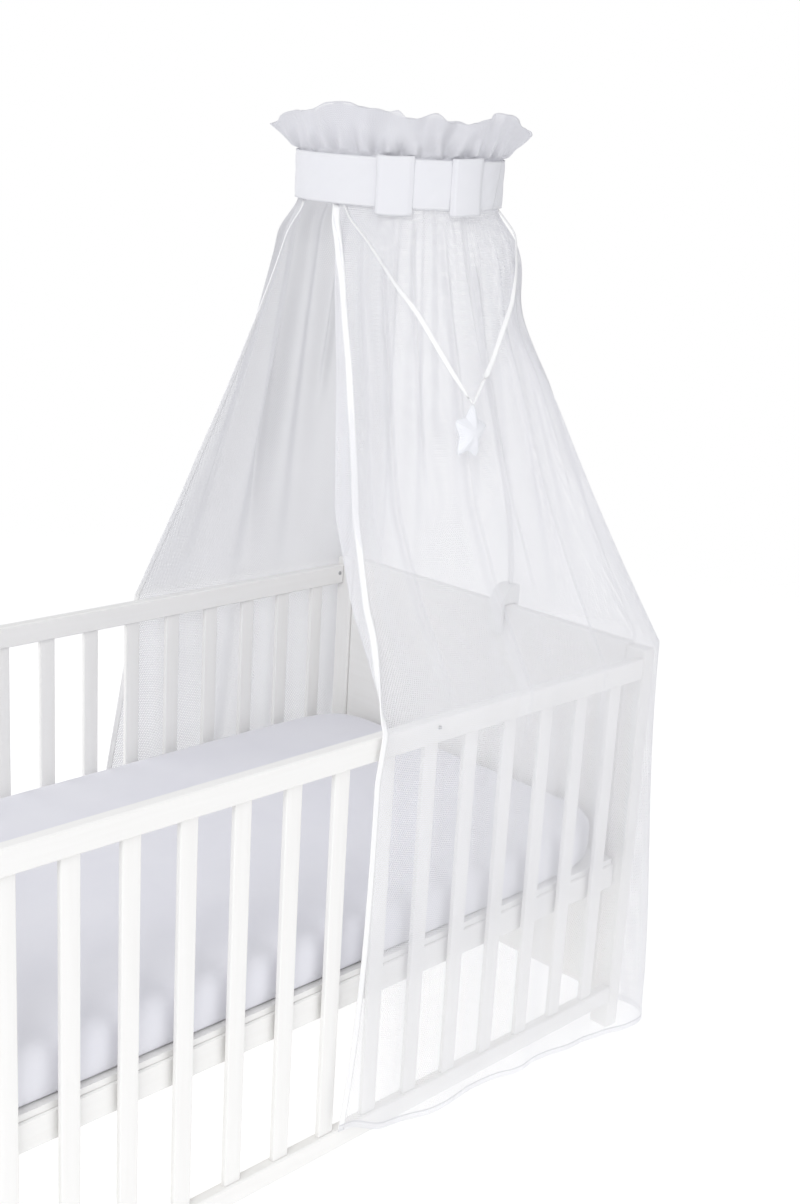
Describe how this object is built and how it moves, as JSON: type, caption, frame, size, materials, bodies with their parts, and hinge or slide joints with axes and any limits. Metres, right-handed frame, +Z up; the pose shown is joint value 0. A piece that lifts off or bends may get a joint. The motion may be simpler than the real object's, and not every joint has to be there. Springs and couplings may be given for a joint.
{
  "type": "crib canopy on a crib",
  "caption": "Sheer net crib canopy with a band, frill and star pendant on a hoop holder, draped over the head end of a slatted crib with its mattress",
  "frame": {"origin": "centre of the whole part's box, on the floor", "axes": "+Z up; +X along the crib towards its head end, where the canopy hangs; +Y towards its back side; the open front edge of the net faces -X and -Y"},
  "size_m": [1.4948, 0.8563, 1.577],
  "materials": {
    "crib_paint": "white lacquer, satin",
    "holder_plastic": "white moulded clamp",
    "holder_metal": "white painted tube",
    "net_cloth": "sheer white hexagonal net, double layer along the hem",
    "frill_cloth": "gathered white net over itself",
    "band_cloth": "smooth white woven cotton with edge stitching",
    "tape_cloth": "white woven tape",
    "star_cloth": "stuffed white cotton",
    "mattress_cover": "white fitted sheet"
  },
  "bodies": {
    "root": {"band": "band_cloth", "band_loop_1": "band_cloth", "band_loop_2": "band_cloth", "base_board": "crib_paint", "base_rail_back": "crib_paint", "base_rail_front": "crib_paint", "foot_panel": "crib_paint", "frill": "frill_cloth", "head_panel": "crib_paint", "holder_clamp": "holder_plastic", "holder_hoop": "holder_metal", "holder_pole": "holder_metal", "mattress": "mattress_cover", "net": "net_cloth", "post_foot_back": "crib_paint", "post_foot_front": "crib_paint", "post_head_back": "crib_paint", "post_head_front": "crib_paint", "rail_back_low": "crib_paint", "rail_back_top": "crib_paint", "rail_front_low": "crib_paint", "rail_front_top": "crib_paint", "ribbon_left": "tape_cloth", "ribbon_right": "tape_cloth", "slat_back_01": "crib_paint", "slat_back_02": "crib_paint", "slat_back_03": "crib_paint", "slat_back_04": "crib_paint", "slat_back_05": "crib_paint", "slat_back_06": "crib_paint", "slat_back_07": "crib_paint", "slat_back_08": "crib_paint", "slat_back_09": "crib_paint", "slat_back_10": "crib_paint", "slat_back_11": "crib_paint", "slat_back_12": "crib_paint", "slat_back_13": "crib_paint", "slat_back_14": "crib_paint", "slat_back_15": "crib_paint", "slat_front_01": "crib_paint", "slat_front_02": "crib_paint", "slat_front_03": "crib_paint", "slat_front_04": "crib_paint", "slat_front_05": "crib_paint", "slat_front_06": "crib_paint", "slat_front_07": "crib_paint", "slat_front_08": "crib_paint", "slat_front_09": "crib_paint", "slat_front_10": "crib_paint", "slat_front_11": "crib_paint", "slat_front_12": "crib_paint", "slat_front_13": "crib_paint", "slat_front_14": "crib_paint", "slat_front_15": "crib_paint", "star": "star_cloth", "tape_back": "tape_cloth", "tape_front": "tape_cloth"}
  },
  "joints": []
}
